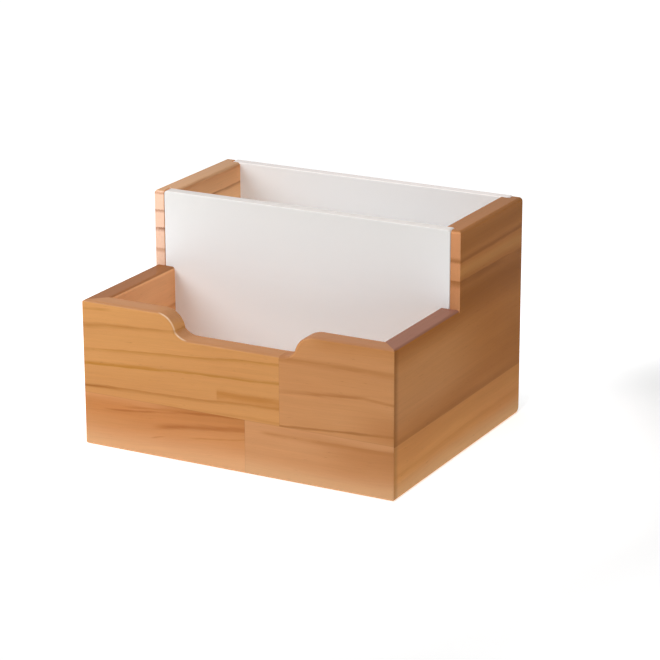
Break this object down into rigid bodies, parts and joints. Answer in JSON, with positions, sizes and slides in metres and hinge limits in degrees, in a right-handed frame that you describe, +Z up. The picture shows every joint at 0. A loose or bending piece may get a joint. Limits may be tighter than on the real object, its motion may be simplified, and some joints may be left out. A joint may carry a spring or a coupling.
{
  "type": "desk organizer",
  "caption": "Open-topped stepped desk organizer of pine and white boards, with a scooped front tray and a taller rear compartment behind a divider.",
  "frame": {"origin": "centre of the base's outline, on the plane that the organizer stands on", "axes": "+X to the right seen from the scooped front, +Y to the back, +Z up"},
  "size_m": [0.18, 0.15, 0.12],
  "materials": {
    "pine": "satin clear coat on edge-glued pine staves",
    "white_board": "smooth matt white lacquer on fibreboard"
  },
  "bodies": {
    "root": {"left_side": "pine", "right_side": "pine", "front_panel": "pine", "divider_panel": "white_board", "back_panel": "white_board", "bottom_panel": "white_board"}
  },
  "joints": []
}
